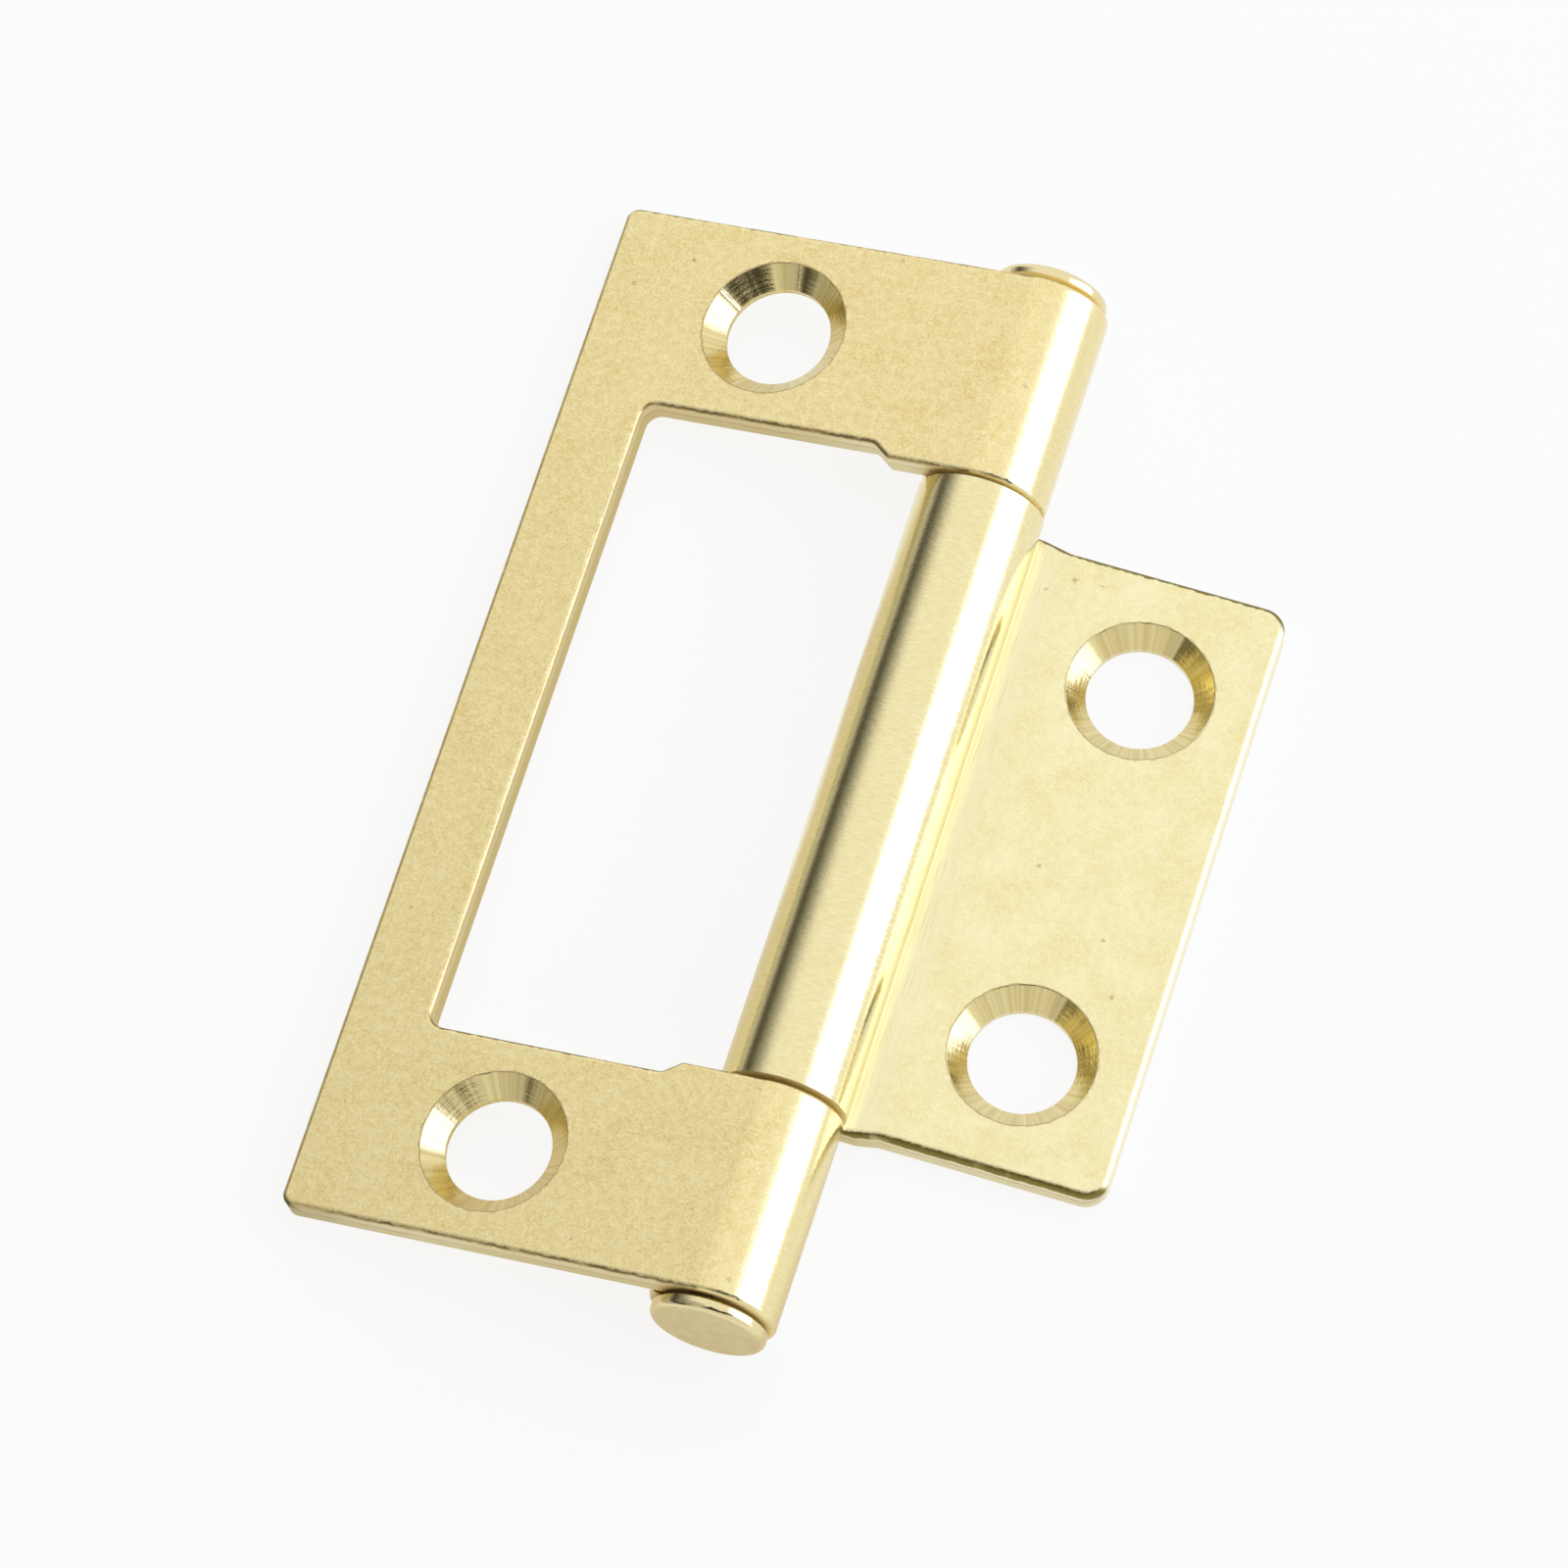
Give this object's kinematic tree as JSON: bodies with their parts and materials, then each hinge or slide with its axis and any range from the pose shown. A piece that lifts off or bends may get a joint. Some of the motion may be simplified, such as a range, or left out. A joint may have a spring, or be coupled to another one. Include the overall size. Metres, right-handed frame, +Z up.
{
  "type": "flush hinge",
  "caption": "Flush hinge of brass-plated pressed steel: a smaller leaf folds into a window in the larger leaf, on a headed pin.",
  "frame": {"origin": "on the back face of the smaller leaf, straight under the pin's axis and midway along the pin", "axes": "+Z up from the surface the open hinge lies on, +Y along the pin, +X across the smaller leaf towards its free edge"},
  "size_m": [0.0339, 0.0516, 0.0058],
  "materials": {
    "plated_leaf": "satin brass plating over pressed steel sheet",
    "plated_pin": "bright brass plating over a steel pin"
  },
  "bodies": {
    "larger_leaf_and_pin": {"outer_leaf": "plated_leaf", "hinge_pin": "plated_pin"},
    "smaller_leaf": {"inner_leaf": "plated_leaf"}
  },
  "joints": [
    {"name": "leaf_swing", "type": "hinge", "parent": "larger_leaf_and_pin", "child": "smaller_leaf", "pos_m": [0, 0, 0.00289], "axis": [0, 1, 0], "range_deg": [-193.36, 166.64]}
  ]
}
